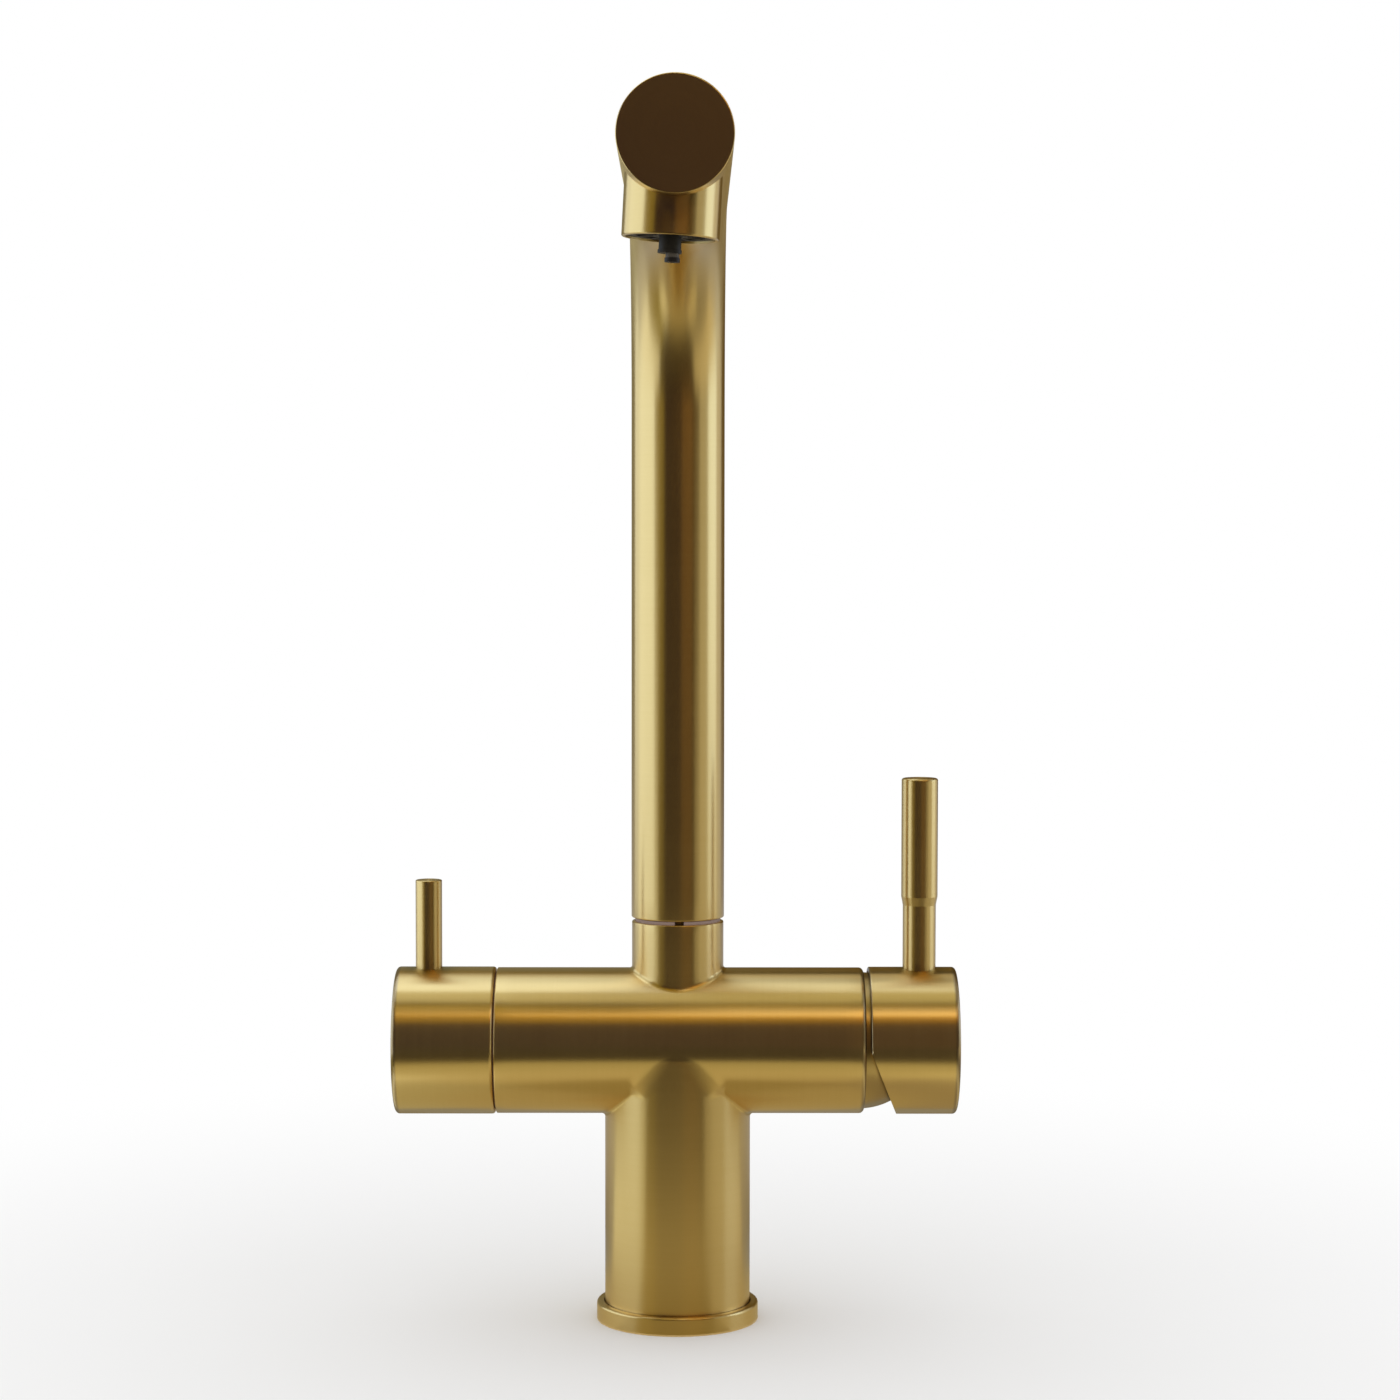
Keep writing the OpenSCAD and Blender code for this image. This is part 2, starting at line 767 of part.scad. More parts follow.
// Hub in the spout's lower end, with the spigot that turns in the neck
module spout_hub() {
    color(brass) difference() {
        union() {
            difference() {
                union() {
                    rod(spigot_r, socket_z + 1, spout_z + 0.4);
                    rod(spout_bore, spout_z + 0.4, hub_top);
                }
                rod(hub_bore, socket_z, hub_top + eps);
            }
            rod(hub_core_r, hub_core_z, hose_z + 8);
            for (a = [0, 120, 240]) rotate(a)
                translate([hub_core_r - 1, -1, hub_core_z + 4]) cube([hub_bore - hub_core_r + 1.5, 2, 8]);
        }
        rod(feed_r + 2 * slip, socket_z, feed_top + 1);
        rod(hose_bore, socket_z, hose_z + eps);
        rod(hose_r + slip, hose_z, hub_top);
        for (z = ring_groove_z)
            ring(spigot_r - spigot_groove, spigot_r + eps, z - o_ring_r - slip, z + o_ring_r + slip);
        ring(stop_groove_r, spigot_r + eps, stop_groove_z - stop_groove_w / 2,
            stop_groove_z + stop_groove_w / 2);
    }
}

// Seals between the spigot and the neck
module hub_o_rings() {
    color(rubber) for (z = ring_groove_z) o_ring(spigot_r - spigot_groove + o_ring_r, o_ring_r, z);
}

// Hose of the filtered water inside the spout, from the hub to the nozzle
module inner_hose() {
    color(hose_white) difference() {
        hose_path(hose_r, elbow_r, 0);
        hose_path(hose_bore, elbow_bore, eps);
    }
}

// The hose's path and its elbow; past is how far the ends run on
module hose_path(r, r_elbow, past) {
    spout_path(r, hose_z - past, outlet_y - hose_bend_r - elbow_end);
    at_outlet() {
        translate([0, hose_bend_r + 2 * elbow_end, 0]) rotate([90, 0, 0]) rod(r_elbow, 0, 2 * elbow_end);
        translate([0, hose_bend_r, -hose_bend_r]) rotate([90, 0, 90])
            rotate([0, 0, 90]) rotate_extrude(angle = 90) translate([hose_bend_r, 0]) circle(r_elbow);
        rod(r_elbow, -nozzle_top - 2 - past, -hose_bend_r);
    }
}

// Outlet stub, saddled onto the underside of the spout tube
module outlet_housing() {
    color(gold) at_outlet() difference() {
        mirror([0, 0, 1]) turned(outlet_r, 0, outlet_drop, 0, edge_small);
        rotate([90, 0, 0]) rod(spout_r, -outlet_d, outlet_d);
        rod(outlet_bore, -outlet_drop - eps, 0);
    }
}

// Rubber washer above the aerator
module aerator_washer() {
    color(rubber) at_outlet() mirror([0, 0, 1])
        ring(6, outlet_bore - slip, aerator_z - aerator_t - screen_t - washer_t,
            aerator_z - aerator_t - screen_t);
}

// Perforated disc above the aerator's body
module aerator_screen() {
    color(steel) at_outlet() mirror([0, 0, 1]) difference() {
        ring(nozzle_r + slip, outlet_bore - slip, aerator_z - aerator_t - screen_t,
            aerator_z - aerator_t);
        for (a = [0 : 30 : 330]) rotate(a) translate([6.6, 0, 0])
            rod(0.9, aerator_z - aerator_t - screen_t - eps, aerator_z);
    }
}

// Aerator body: an outer ring and a hub, joined by ribs with flow slots between them
module aerator_body() {
    color(dark_plastic) at_outlet() mirror([0, 0, 1]) difference() {
        ring(nozzle_r + slip, outlet_bore - slip, aerator_z - aerator_t, aerator_z);
        difference() {
            ring(4.2, 8.4, aerator_z - aerator_t - eps, aerator_z + eps);
            for (a = [0 : 30 : 330]) rotate(a)
                translate([3.5, -0.5, aerator_z - aerator_t - 2]) cube([6, 1, aerator_t + 4]);
        }
    }
}

// Nozzle of the filtered water in the middle of the outlet
module filter_nozzle() {
    color(dark_plastic) at_outlet() mirror([0, 0, 1]) difference() {
        union() {
            rod(nozzle_r, aerator_z - aerator_t - screen_t, nozzle_end);
            rod(hose_r + 1, nozzle_top, aerator_z - aerator_t - screen_t);
            rod(nozzle_rim_r, nozzle_end - 0.8, nozzle_end);
        }
        translate([nozzle_off, 0, 0]) rod(nozzle_bore, nozzle_top, nozzle_end + eps);
        rod(elbow_r + slip, nozzle_top - eps, nozzle_top + 2);
    }
}

// Tip of the nozzle: a tube pressed into its bore, a collar and a rim
module nozzle_tip() {
    color(dark_plastic) at_outlet() mirror([0, 0, 1]) translate([nozzle_off, 0, 0]) difference() {
        union() {
            rod(nozzle_bore, nozzle_end - 3, tip_end - 1);
            rod(tip_neck_r, nozzle_end, tip_end - 1);
            rod(tip_rim_r, tip_end - 1, tip_end);
        }
        rod(tip_bore, nozzle_end - 4, tip_end + eps);
    }
}

tap_body();
base_ring();
base_gasket();
inlet_block();
hot_riser();
cold_riser();
filter_riser();
cartridge_housing();
cartridge_seals();
fixed_mixing_disc();
cartridge_nut();
dome_cover();
headwork();
headwork_seal();
filter_fixed_disc();
filter_guide_ring();
swivel_bush();
slip_ring();
spout_grub_screw();
feed_pipe();
mixer_carrier();
stem_pin();
moving_mixing_disc();
disc_driver();
mixer_stem();
mixer_cap();
mixer_lever_rod();
mixer_lever_sleeve();
mixer_grub_screw();
filter_spindle();
filter_moving_disc();
spindle_o_rings();
filter_cap();
filter_lever();
filter_grub_screw();
spout_tube();
spout_end_disc();
spout_hub();
hub_o_rings();
inner_hose();
outlet_housing();
aerator_washer();
aerator_screen();
aerator_body();
filter_nozzle();
nozzle_tip();
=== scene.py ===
"""Looks of the three way filtered water tap: brushed gold skins, studio and camera."""

import math

import bmesh
import bpy
import numpy as np
from mathutils import Matrix, Vector


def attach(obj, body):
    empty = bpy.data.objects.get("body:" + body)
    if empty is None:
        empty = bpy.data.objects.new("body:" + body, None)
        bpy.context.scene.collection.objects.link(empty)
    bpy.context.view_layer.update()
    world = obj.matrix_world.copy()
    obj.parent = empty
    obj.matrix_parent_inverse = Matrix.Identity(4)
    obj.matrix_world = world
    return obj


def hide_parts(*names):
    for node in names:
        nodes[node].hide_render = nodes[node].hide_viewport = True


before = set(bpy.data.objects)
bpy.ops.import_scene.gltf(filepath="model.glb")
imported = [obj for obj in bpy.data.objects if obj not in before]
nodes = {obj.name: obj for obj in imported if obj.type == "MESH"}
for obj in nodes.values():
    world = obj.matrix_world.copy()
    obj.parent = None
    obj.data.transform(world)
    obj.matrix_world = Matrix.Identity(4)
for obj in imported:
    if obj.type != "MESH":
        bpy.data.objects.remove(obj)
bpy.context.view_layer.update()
MM = 0.001
TAU, QUARTER = 2 * math.pi, math.pi / 2

# Sizes in millimetres, as in the CAD source
BODY_R, CROSS_Z = 22.0, 85.0
LEFT_END, LEFT_EDGE, CHAMBER_LEFT = 54.7, 0.4, 44.0
RIGHT_END, RIGHT_EDGE, CHAMBER_RIGHT = 56.3, 1.4, 24.0
CHAMBER_R = 18.0
COLUMN_Z, COLUMN_BORE, BLOCK_TOP = 2.5, 18.8, 24.0
NECK_R, NECK_TOP, NECK_EDGE, BUSH_R, BUSH_Z = 13.85, 121.5, 0.4, 11.2, 112.5
SPOUT_R, SPOUT_BORE, SPOUT_Z, SPOUT_H, BEND_R = 14.0, 12.5, 122.7, 331.5, 56.0
SPOUT_END, SPOUT_EDGE = 208.5, 0.4
OUTLET_Y, OUTLET_LEAN, OUTLET_BORE = 193.5, 3.0, 10.8
LEFT_LEVER, RIGHT_LEVER = 75.4, 73.2
LEFT_CAP_END, RIGHT_CAP, RIGHT_CAP_END = 85.2, 57.8, 84.3
TIP_RIM_Z, TIP_RIM_H = 303.9, 0.2

# Fillets at the sides, and where the front and the back of the two surfaces run together
COLUMN_FILLET, NECK_FILLET = (1.2, 18.0), (0.9, 2.2)
COLUMN_GROW = 0.64, 0.30        # sines of the angles between which the column's fillet grows
# Where the column's upright grain ends in an arch, and the part of the skin that the arch lies in
ARCH_Z, ARCH_SIDE = (80.6, 83.0), 4.0
ARCH_FRONT, ARCH_LOW, ARCH_HIGH, ARCH_HALF = BODY_R - 6, 70, CROSS_Z + 0.5, 15

# How finely the skins are divided
AROUND, TOP_AROUND, SPOUT_AROUND = 128, 24, 144
EDGE_ROWS, COLUMN_ROWS, NECK_ROWS = 6, 12, 8      # in a rounded edge and in the fillets
SEAM, SEAM_ROWS, PLAIN_ROWS = 9, 12, 8            # rows lie closer within 9 mm of a seam
UPRIGHT_ROWS, BEND_ROWS, REACH_ROWS, HOLE_SIDES = 24, 97, 60, 96
WELD, SLIVER, SHARP = 2e-6, 1e-7, 35              # metres, metres, degrees

INSIDE = 400                    # sets the tube's inner grain apart from its outer one
GRAIN_UV = 100                  # millimetres along the axis in one UV unit


# ---------------------------------------------------------------- meshes

def add_object(name, data):
    obj = bpy.data.objects.new(name, data)
    bpy.context.scene.collection.objects.link(obj)
    return obj


def step(value, low, high):
    """Soft step from 0 at low to 1 at high."""
    t = max(0.0, min(1.0, (value - low) / (high - low)))
    return t * t * (3 - 2 * t)


def smooth(obj):
    mesh = obj.data
    mesh.polygons.foreach_set("use_smooth", [True] * len(mesh.polygons))
    mesh.set_sharp_from_angle(angle=math.radians(SHARP))


class Skin:
    """A mesh made of lines of points. Each line runs along the turning axis, and each vertex keeps
    how far along it lies (s) and at which angle around (turn), for the brushed grain, and the
    direction across the grain."""

    def __init__(self):
        self.points, self.turns, self.alongs, self.across, self.quads = [], [], [], [], []

    def grid(self, rows, closed=False):
        """Adds a sheet of rows. Each row is a line of points, how far along each lies, and the turn
        of them all."""
        base, per = len(self.points), len(rows[0][0])
        for line, along, turn in rows:
            self.points.extend(line)
            self.alongs.extend(along)
            self.turns.extend([turn] * per)
            self.across.extend(np.gradient(np.array(line, float), axis=0))
        for i in range(len(rows) - 1 + (1 if closed else 0)):
            a, b = base + i * per, base + ((i + 1) % len(rows)) * per
            for k in range(per - 1):
                self.quads.append((a + k, a + k + 1, b + k + 1, b + k))

    @staticmethod
    def blend(point, direction):
        """Direction across the grain. Where the column runs into the cross body, at the front and
        at the back, its upright grain ends in a soft arch."""
        x, y, z = point
        if abs(y) < ARCH_FRONT or not ARCH_LOW < z < ARCH_HIGH or abs(x) > ARCH_HALF:
            return direction
        upright = step(z, ARCH_Z[1], ARCH_Z[0]) * step(abs(x) - (CROSS_Z - z), ARCH_SIDE, 0)
        return (1 - upright, 0.0, upright)

    @staticmethod
    def unwrap(mesh):
        """UVs with U along the turning axis, which the shader takes as the direction across the
        grain."""
        brush = np.zeros(len(mesh.vertices) * 3, np.float32)
        mesh.attributes["brush"].data.foreach_get("vector", brush)
        brush = brush.reshape(-1, 3)
        turns = np.arctan2(brush[:, 2], brush[:, 1])
        uvs = mesh.uv_layers.new(name="grain").data
        for face in mesh.polygons:
            around = [turns[v] for v in face.vertices]
            if max(around) - min(around) > math.pi:
                around = [t + TAU if t < 0 else t for t in around]
            for loop, v, t in zip(face.loop_indices, face.vertices, around):
                uvs[loop].uv = (brush[v, 0] / GRAIN_UV, t / TAU)

    def build(self, name):
        mesh = bpy.data.meshes.new(name)
        mesh.from_pydata([tuple(c * MM for c in p) for p in self.points], [], self.quads)
        brush = mesh.attributes.new("brush", "FLOAT_VECTOR", "POINT")
        data = np.array([(s, math.cos(t), math.sin(t)) for s, t in zip(self.alongs, self.turns)])
        brush.data.foreach_set("vector", data.astype(np.float32).ravel())
        across = mesh.attributes.new("across", "FLOAT_VECTOR", "POINT")
        data = np.array([self.blend(p, d / max(np.linalg.norm(d), 1e-9))
                         for p, d in zip(self.points, self.across)])
        across.data.foreach_set("vector", data.astype(np.float32).ravel())
        bm = bmesh.new()
        bm.from_mesh(mesh)
        bmesh.ops.remove_doubles(bm, verts=bm.verts, dist=WELD)
        bmesh.ops.dissolve_degenerate(bm, edges=bm.edges, dist=SLIVER)
        bmesh.ops.recalc_face_normals(bm, faces=bm.faces)
        bm.to_mesh(mesh)
        bm.free()
        self.unwrap(mesh)
        obj = add_object(name, mesh)
        smooth(obj)
        return obj


def arc(centre, start, end, count):
    """Points from start to end around centre, the first one left out."""
    a, b = np.subtract(start, centre), np.subtract(end, centre)
    la, lb = np.linalg.norm(a), np.linalg.norm(b)
    angle = math.acos(max(-1.0, min(1.0, float(np.dot(a, b) / (la * lb)))))
    if angle < 1e-6:
        return [tuple(end)] * count
    out = []
    for k in range(1, count + 1):
        t = k / count
        p = (math.sin((1 - t) * angle) * a + math.sin(t * angle) * b) / math.sin(angle)
        out.append(tuple(np.add(centre, p)))
    return out


def between(p, q, count):
    """Points from p to q, the first one left out."""
    return [tuple(p[i] + (q[i] - p[i]) * k / count for i in range(3)) for k in range(1, count + 1)]


def ring(side, a, radius, z):
    """Point on a ring about the tap's upright axis, at angle a from the front towards one side."""
    return side * radius * math.sin(a), -radius * math.cos(a), z


def cross_end(line, along, b, side):
    """Carries a line of the cross body on to its end, round the edge and down into the bore."""
    end, edge, chamber = (RIGHT_END, RIGHT_EDGE, CHAMBER_RIGHT) if side > 0 else \
        (LEFT_END, LEFT_EDGE, CHAMBER_LEFT)
    y, z = -math.cos(b), math.sin(b)
    goal = (side * (end - edge), BODY_R * y, CROSS_Z + BODY_R * z)
    near = (line[-1][0] + side * SEAM, line[-1][1], line[-1][2])
    run = between(line[-1], near, SEAM_ROWS) + between(near, goal, PLAIN_ROWS)
    line += run
    along += [p[0] for p in run]
    for k in range(1, EDGE_ROWS + 1):
        t = k / EDGE_ROWS * QUARTER
        r = BODY_R - edge + edge * math.cos(t)
        line.append((side * (end - edge + edge * math.sin(t)), r * y, CROSS_Z + r * z))
        along.append(side * (end - edge + edge * t))
    s = along[-1]
    line.append((side * end, CHAMBER_R * y, CROSS_Z + CHAMBER_R * z))
    along.append(s + side * (BODY_R - edge - CHAMBER_R))
    line.append((side * chamber, CHAMBER_R * y, CROSS_Z + CHAMBER_R * z))
    along.append(s + side * (BODY_R - CHAMBER_R + end - chamber))
    line.append((side * chamber, 0, CROSS_Z))
    along.append(along[-1] + side * CHAMBER_R)


def column_row(side, a):
    """From inside the column round its lower end, up its outside, through the fillet and along the
    cross body."""
    least, most = COLUMN_FILLET
    r = least + (most - least) * step(math.sin(a), *COLUMN_GROW)
    line = [(0, 0, BLOCK_TOP), ring(side, a, COLUMN_BORE, BLOCK_TOP),
            ring(side, a, COLUMN_BORE, COLUMN_Z), ring(side, a, BODY_R, COLUMN_Z)]
    along = [-60.0, -25.0, -3.2, 0.0]
    low, top = line[-1], ring(side, a, BODY_R, CROSS_Z - (BODY_R + r) * math.sin(a))
    near = (low[0], low[1], top[2] - SEAM)
    run = between(low, near, PLAIN_ROWS) + between(near, top, SEAM_ROWS)
    line += run
    along += [p[2] for p in run]
    centre = ring(side, a, BODY_R + r, top[2])
    meet = (centre[0], -BODY_R * math.cos(a), CROSS_Z - BODY_R * math.sin(a))
    line += arc(centre, top, meet, COLUMN_ROWS)
    along += [top[2] + (k / COLUMN_ROWS) * (side * abs(meet[0]) - top[2])
              for k in range(1, COLUMN_ROWS + 1)]
    cross_end(line, along, -a, side)
    return line, along, side * a


def top_row(side, b):
    """From the middle of the cross body to its end, in front of the neck or behind it."""
    line, along = [(0, -BODY_R * math.cos(b), CROSS_Z + BODY_R * math.sin(b))], [0.0]
    cross_end(line, along, b, side)
    return line, along, -b


def neck_row(side, a):
    """From inside the neck over its rounded top, down its outside, through the fillet and along the
    cross body."""
    cs = math.cos(a)
    f = NECK_FILLET[0] + (NECK_FILLET[1] - NECK_FILLET[0]) * cs * cs
    b = math.acos((NECK_R + f) / (BODY_R + f) * cs)
    cz = CROSS_Z + (BODY_R + f) * math.sin(b)
    line = [(0, 0, BUSH_Z), ring(side, a, BUSH_R, BUSH_Z), ring(side, a, BUSH_R, NECK_TOP)]
    along = [NECK_TOP + 24, NECK_TOP + 12, NECK_TOP + 3]
    for k in range(EDGE_ROWS + 1):
        t = QUARTER * (1 - k / EDGE_ROWS)
        line.append(ring(side, a, NECK_R - NECK_EDGE + NECK_EDGE * math.cos(t),
                         NECK_TOP - NECK_EDGE + NECK_EDGE * math.sin(t)))
        along.append(NECK_TOP - NECK_EDGE + NECK_EDGE * t)
    low = ring(side, a, NECK_R, cz)
    run = between(line[-1], low, PLAIN_ROWS)
    line += run
    along += [p[2] for p in run]
    centre = ring(side, a, NECK_R + f, cz)
    meet = (centre[0], centre[1] * BODY_R / (BODY_R + f),
            CROSS_Z + (cz - CROSS_Z) * BODY_R / (BODY_R + f))
    line += arc(centre, low, meet, NECK_ROWS)
    along += [cz + (k / NECK_ROWS) * (meet[0] - cz) for k in range(1, NECK_ROWS + 1)]
    cross_end(line, along, b, side)
    return line, along, -b


def tap_body():
    """Column, cross body and neck in one skin, with rolling ball fillets where they meet."""
    skin = Skin()
    around = [math.pi * i / AROUND for i in range(AROUND + 1)]
    first = math.acos((NECK_R + NECK_FILLET[1]) / (BODY_R + NECK_FILLET[1]))
    for side in (1, -1):
        skin.grid([column_row(side, a) for a in around])
        for low, high in ((0, first), (math.pi - first, math.pi)):
            skin.grid([top_row(side, low + (high - low) * i / TOP_AROUND)
                       for i in range(TOP_AROUND + 1)])
        skin.grid([neck_row(side, a) for a in around])
    return skin.build("tap_body_skin")


BEND_Z = SPOUT_H - BEND_R
UPRIGHT, BEND = BEND_Z - SPOUT_Z, BEND_R * QUARTER      # lengths of the tube's first two parts


def tube_point(path, radius, t):
    """Point of the tube's wall: path in millimetres from the lower edge, t around from the inner
    side."""
    if path <= UPRIGHT:
        centre, inward = (0, 0, SPOUT_Z + path), (0, -1, 0)
    elif path <= UPRIGHT + BEND:
        g = (path - UPRIGHT) / BEND_R
        centre = (0, -BEND_R + BEND_R * math.cos(g), BEND_Z + BEND_R * math.sin(g))
        inward = (0, -math.cos(g), -math.sin(g))
    else:
        centre, inward = (0, -BEND_R - (path - UPRIGHT - BEND), SPOUT_H), (0, 0, -1)
    return tuple(centre[i] + radius * (math.cos(t) * inward[i] + (math.sin(t) if i == 0 else 0))
                 for i in range(3))


def spout_row(t, stops):
    """From the rounded lower edge along the tube's outside to its end, and back along its bore."""
    line, along = [], []
    for k in range(EDGE_ROWS + 1):
        u = QUARTER * (1 - k / EDGE_ROWS)
        line.append(tube_point(SPOUT_EDGE - SPOUT_EDGE * math.sin(u),
                               SPOUT_R - SPOUT_EDGE + SPOUT_EDGE * math.cos(u), t))
        along.append(SPOUT_EDGE * (1 - u))
    line += [tube_point(s, SPOUT_R, t) for s in stops]
    along += stops
    line += [tube_point(s, SPOUT_BORE, t) for s in reversed(stops)]
    along += [s + INSIDE for s in reversed(stops)]
    line += [tube_point(0, SPOUT_BORE, t), line[0]]
    along += [INSIDE, -1.0]
    return line, along, t


def drill_outlet(tube):
    """Cuts the outlet's hole into the tube's underside."""
    mesh = bpy.data.meshes.new("outlet hole")
    bm = bmesh.new()
    place = Matrix.Translation((0, -OUTLET_Y * MM, SPOUT_H * MM)) @ \
        Matrix.Rotation(math.radians(OUTLET_LEAN), 4, "Y") @ \
        Matrix.Translation((0, 0, -SPOUT_R * MM))
    bmesh.ops.create_cone(bm, cap_ends=True, segments=HOLE_SIDES, radius1=OUTLET_BORE * MM,
                          radius2=OUTLET_BORE * MM, depth=2 * SPOUT_R * MM, matrix=place)
    bm.to_mesh(mesh)
    bm.free()
    cutter = add_object("outlet hole", mesh)
    cut = tube.modifiers.new("outlet hole", "BOOLEAN")
    cut.operation, cut.object, cut.solver = "DIFFERENCE", cutter, "EXACT"
    bpy.context.view_layer.update()
    done = tube.evaluated_get(bpy.context.evaluated_depsgraph_get())
    done = bpy.data.meshes.new_from_object(done)
    tube.modifiers.clear()
    tube.data = done
    bpy.data.objects.remove(cutter)
    smooth(tube)


def spout_tube():
    """Bent tube with its wall, its lower edge rounded, and the outlet's hole in its underside."""
    length = UPRIGHT + BEND + SPOUT_END - BEND_R
    stops = [*np.linspace(SPOUT_EDGE, UPRIGHT, UPRIGHT_ROWS)[1:],
             *np.linspace(UPRIGHT, UPRIGHT + BEND, BEND_ROWS)[1:],
             *np.linspace(UPRIGHT + BEND, length, REACH_ROWS)[1:]]
    skin = Skin()
    skin.grid([spout_row(TAU * i / SPOUT_AROUND, stops) for i in range(SPOUT_AROUND)], closed=True)
    tube = skin.build("spout_tube_skin")
    drill_outlet(tube)
    return tube


# ------------------------------------------------------------- materials

WHITE = 1, 1, 1
# Tint and its darker and lighter grain
GOLD = (0.80, 0.585, 0.245), (0.79, 0.575, 0.238), (0.81, 0.595, 0.252)
# Gold painted darker for the dome, as painted shade where it shows deep in the seams' gaps
SHADED_GOLD = (0.58, 0.42, 0.175), (0.57, 0.41, 0.17), (0.59, 0.43, 0.18)
BRASS = (0.76, 0.55, 0.24), (0.70, 0.49, 0.19), (0.80, 0.60, 0.28)
COPPER = (0.75, 0.40, 0.26), (0.68, 0.34, 0.21), (0.80, 0.45, 0.30)
STEEL = (0.58, 0.57, 0.56), (0.52, 0.51, 0.5), (0.64, 0.63, 0.62)
ROUGH, SPREAD = 0.30, 0.8       # satin, blurred most along the turning axis, across the grain
ROUGH_GRAIN, ROUGH_CLOUD = 0.012, 0.008
GRAIN_BUMP, GRAIN_DEPTH = 0.02, 0.00002
# Noise cells in a millimetre along the axis, for each layer of the grain, and in a metre around it
FINE, WIDE, CLOUD, CLOUD_AROUND, GRAIN_AROUND = 4.0, 0.8, 0.05, 0.7, 60.0
NOISE = 0.3, 0.7                # the range that nearly all of a noise lies in
# Painted shade: how much darker the gold is painted around a lever's foot, on the rounded ends at
# the right seam and on the caps' far rims
FOOT_SHADE, END_SHADE, RIM_SHADE = (0.55, 0.60, 0.66), (0.42, 0.46, 0.75), (0.62, 0.64, 0.85)
# Where that painted shade lies: distances from a lever's axis, height above the caps' axis, and
# distances from a rim's corner
FOOT_SHADE_REACH, FOOT_SHADE_HEIGHT, RIM_SHADE_REACH = (4.5, 10.0), 12, (1.5, 0.9)
TIP_RIM, TIP_COLLAR = (0.018, 0.012, 0.008), (0.08, 0.065, 0.045)


class Nodes:
    """Short way to write a material's nodes."""

    def __init__(self, name):
        self.material = bpy.data.materials.new(name)
        self.material.use_nodes = True
        self.tree = self.material.node_tree
        self.shader = self.tree.nodes["Principled BSDF"]
        self.surface = self.tree.nodes["Material Output"].inputs["Surface"]

    def add(self, kind, **settings):
        node = self.tree.nodes.new(kind)
        for key, value in settings.items():
            setattr(node, key, value)
        return node

    def link(self, a, b):
        self.tree.links.new(a, b)

    def put(self, socket, value):
        if isinstance(value, bpy.types.NodeSocket):
            self.link(value, socket)
        else:
            socket.default_value = value

    def set(self, **values):
        for name, value in values.items():
            self.put(self.shader.inputs[name.replace("_", " ")], value)

    def math(self, operation, a, b=0.0, c=0.0):
        node = self.add("ShaderNodeMath", operation=operation)
        for socket, value in zip(node.inputs, (a, b, c)):
            self.put(socket, value)
        return node.outputs[0]

    def distance(self, u, v):
        return self.math("SQRT", self.math("ADD", self.math("MULTIPLY", u, u),
                                           self.math("MULTIPLY", v, v)))

    def join(self, x, y, z):
        node = self.add("ShaderNodeCombineXYZ")
        for socket, value in zip(node.inputs, (x, y, z)):
            self.put(socket, value)
        return node.outputs[0]

    def split(self, vector):
        node = self.add("ShaderNodeSeparateXYZ")
        self.link(vector, node.inputs[0])
        return node.outputs

    def coordinates(self):
        return self.add("ShaderNodeTexCoord").outputs["Object"]

    def attribute(self, name):
        return self.add("ShaderNodeAttribute", attribute_name=name).outputs["Vector"]

    def noise(self, vector, scale=1.0, detail=2.0):
        node = self.add("ShaderNodeTexNoise")
        self.link(vector, node.inputs["Vector"])
        node.inputs["Scale"].default_value = scale
        node.inputs["Detail"].default_value = detail
        node.inputs["Roughness"].default_value = 0.5
        return node.outputs["Fac"]

    def ramp(self, value, stops):
        node = self.add("ShaderNodeValToRGB")
        self.link(value, node.inputs["Fac"])
        elements = node.color_ramp.elements
        while len(elements) < len(stops):
            elements.new(0.5)
        for element, (place, colour) in zip(elements, stops):
            element.position = place
            element.color = (*colour, 1)
        return node.outputs["Color"]

    def span(self, value, low, high, to_low=0.0, to_high=1.0, **settings):
        node = self.add("ShaderNodeMapRange", **settings)
        self.link(value, node.inputs["Value"])
        for name, number in (("From Min", low), ("From Max", high),
                             ("To Min", to_low), ("To Max", to_high)):
            node.inputs[name].default_value = number
        return node.outputs["Result"]

    def tinted(self, colour, value, low, high, stops):
        """The colour times a ramp that runs while the value goes from low to high."""
        node = self.add("ShaderNodeVectorMath", operation="MULTIPLY")
        self.link(colour, node.inputs[0])
        self.link(self.ramp(self.span(value, low, high), stops), node.inputs[1])
        return node.outputs[0]

    def bump(self, height, strength, distance):
        node = self.add("ShaderNodeBump")
        self.link(height, node.inputs["Height"])
        node.inputs["Strength"].default_value = strength
        node.inputs["Distance"].default_value = distance
        self.link(node.outputs["Normal"], self.shader.inputs["Normal"])


def turned_coordinates(n, axis, centre, scale=GRAIN_AROUND):
    """Distance along a turning axis plus distance from it, in millimetres, and the two directions
    around it."""
    parts = {k: n.math("SUBTRACT", place, middle * MM)
             for k, place, middle in zip("XYZ", n.split(n.coordinates()), centre)}
    along = parts.pop(axis)
    u, v = parts.values()
    s = n.math("MULTIPLY", n.math("ADD", along, n.distance(u, v)), 1000.0)
    return s, n.math("MULTIPLY", u, scale), n.math("MULTIPLY", v, scale)


def paint_foot_shade(n, mix, x):
    """Painted shade: the gold painted darker on the cap's top, around the foot of the lever that
    stands at x.
    """
    high, u, v = turned_coordinates(n, "Z", (x, 0, 0), 1000.0)
    reach = n.distance(u, v)
    below = n.math("SUBTRACT", CROSS_Z + FOOT_SHADE_HEIGHT, n.math("SUBTRACT", high, reach))
    return n.tinted(mix, n.math("MAXIMUM", reach, below), *FOOT_SHADE_REACH,
                    ((0.0, FOOT_SHADE), (1.0, WHITE)))


